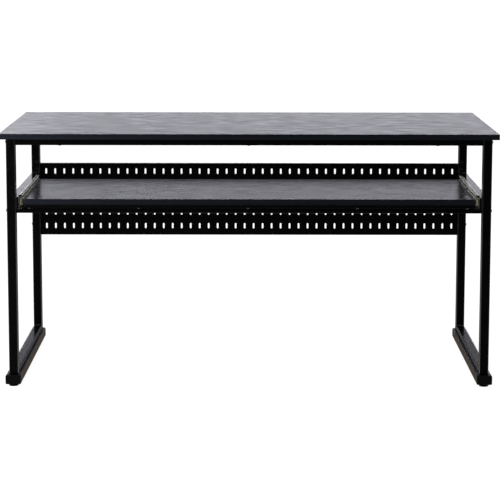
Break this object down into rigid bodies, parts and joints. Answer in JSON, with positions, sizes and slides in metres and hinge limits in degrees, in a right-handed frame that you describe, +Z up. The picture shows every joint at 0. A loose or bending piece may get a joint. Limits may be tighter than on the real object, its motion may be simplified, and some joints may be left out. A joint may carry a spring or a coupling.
{
  "type": "studio desk",
  "caption": "Studio desk with a steel tube frame, laminated top, slotted back panel and a keyboard tray that pulls out on telescopic slides.",
  "frame": {"origin": "on the floor, below the middle of the desktop", "axes": "+X to the sitter's right, +Y to the back of the desk, +Z up"},
  "size_m": [1.6, 0.75, 0.825],
  "materials": {
    "black_powder_coat": "satin powder coat, fine texture",
    "grey_laminate": "matt melamine with a fine brushed wood grain",
    "black_edge_band": "satin ABS edge band",
    "zinc_steel": "bright zinc plated",
    "black_plastic": "moulded, fine grain",
    "cage_steel": "oiled steel balls in a pressed cage"
  },
  "bodies": {
    "root": {"desktop_board": "grey_laminate", "desktop_edge_front": "black_edge_band", "desktop_edge_rear": "black_edge_band", "desktop_edge_left": "black_edge_band", "desktop_edge_right": "black_edge_band", "leg_front_left": "black_powder_coat", "base_cap_front_left": "black_plastic", "foot_bush_front_left": "zinc_steel", "leg_rear_left": "black_powder_coat", "base_cap_rear_left": "black_plastic", "foot_bush_rear_left": "zinc_steel", "top_rail_left": "black_powder_coat", "side_rail_left": "black_powder_coat", "bottom_rail_left": "black_powder_coat", "base_beam_left": "black_powder_coat", "slide_bracket_front_left": "black_powder_coat", "slide_bracket_middle_left": "black_powder_coat", "slide_bracket_rear_left": "black_powder_coat", "slide_outer_left": "zinc_steel", "slide_stop_left": "black_plastic", "leg_front_right": "black_powder_coat", "base_cap_front_right": "black_plastic", "foot_bush_front_right": "zinc_steel", "leg_rear_right": "black_powder_coat", "base_cap_rear_right": "black_plastic", "foot_bush_rear_right": "zinc_steel", "top_rail_right": "black_powder_coat", "side_rail_right": "black_powder_coat", "bottom_rail_right": "black_powder_coat", "base_beam_right": "black_powder_coat", "slide_bracket_front_right": "black_powder_coat", "slide_bracket_middle_right": "black_powder_coat", "slide_bracket_rear_right": "black_powder_coat", "slide_outer_right": "zinc_steel", "slide_stop_right": "black_plastic", "apron_front": "black_powder_coat", "apron_rear": "black_powder_coat", "tray_crossbar": "black_powder_coat", "back_panel": "black_powder_coat"},
    "tray": {"tray_board": "grey_laminate", "tray_edge_front": "black_edge_band", "tray_edge_rear": "black_edge_band", "tray_edge_left": "black_edge_band", "tray_edge_right": "black_edge_band", "tray_stiffener": "black_powder_coat", "slide_inner_left": "zinc_steel", "slide_inner_right": "zinc_steel"},
    "middle_member_left": {"slide_middle_left": "zinc_steel"},
    "outer_cage_left": {"slide_outer_cage_left": "cage_steel"},
    "inner_cage_left": {"slide_inner_cage_left": "cage_steel"},
    "middle_member_right": {"slide_middle_right": "zinc_steel"},
    "outer_cage_right": {"slide_outer_cage_right": "cage_steel"},
    "inner_cage_right": {"slide_inner_cage_right": "cage_steel"},
    "foot_front_left": {"foot_front_left": "black_plastic"},
    "foot_rear_left": {"foot_rear_left": "black_plastic"},
    "foot_front_right": {"foot_front_right": "black_plastic"},
    "foot_rear_right": {"foot_rear_right": "black_plastic"}
  },
  "joints": [
    {"name": "tray_slide", "type": "slide", "parent": "root", "child": "tray", "axis": [0, -1, 0], "range_m": [0, 0.5]},
    {"name": "middle_member_left_slide", "type": "slide", "parent": "root", "child": "middle_member_left", "axis": [0, -1, 0], "range_m": [0, 0.25]},
    {"name": "outer_cage_left_slide", "type": "slide", "parent": "root", "child": "outer_cage_left", "axis": [0, -1, 0], "range_m": [0, 0.125]},
    {"name": "inner_cage_left_slide", "type": "slide", "parent": "root", "child": "inner_cage_left", "axis": [0, -1, 0], "range_m": [0, 0.375]},
    {"name": "middle_member_right_slide", "type": "slide", "parent": "root", "child": "middle_member_right", "axis": [0, -1, 0], "range_m": [0, 0.25]},
    {"name": "outer_cage_right_slide", "type": "slide", "parent": "root", "child": "outer_cage_right", "axis": [0, -1, 0], "range_m": [0, 0.125]},
    {"name": "inner_cage_right_slide", "type": "slide", "parent": "root", "child": "inner_cage_right", "axis": [0, -1, 0], "range_m": [0, 0.375]},
    {"name": "foot_front_left_turn", "type": "hinge", "parent": "root", "child": "foot_front_left", "pos_m": [-0.765, -0.355, 0], "axis": [0, 0, 1], "range_deg": [0, 1440]},
    {"name": "foot_rear_left_turn", "type": "hinge", "parent": "root", "child": "foot_rear_left", "pos_m": [-0.765, 0.355, 0], "axis": [0, 0, 1], "range_deg": [0, 1440]},
    {"name": "foot_front_right_turn", "type": "hinge", "parent": "root", "child": "foot_front_right", "pos_m": [0.765, -0.355, 0], "axis": [0, 0, 1], "range_deg": [0, 1440]},
    {"name": "foot_rear_right_turn", "type": "hinge", "parent": "root", "child": "foot_rear_right", "pos_m": [0.765, 0.355, 0], "axis": [0, 0, 1], "range_deg": [0, 1440]}
  ],
  "couplings": [
    {"joint": "middle_member_left_slide", "follows": "tray_slide", "ratio": 0.5},
    {"joint": "outer_cage_left_slide", "follows": "tray_slide", "ratio": 0.25},
    {"joint": "inner_cage_left_slide", "follows": "tray_slide", "ratio": 0.75},
    {"joint": "middle_member_right_slide", "follows": "tray_slide", "ratio": 0.5},
    {"joint": "outer_cage_right_slide", "follows": "tray_slide", "ratio": 0.25},
    {"joint": "inner_cage_right_slide", "follows": "tray_slide", "ratio": 0.75}
  ]
}
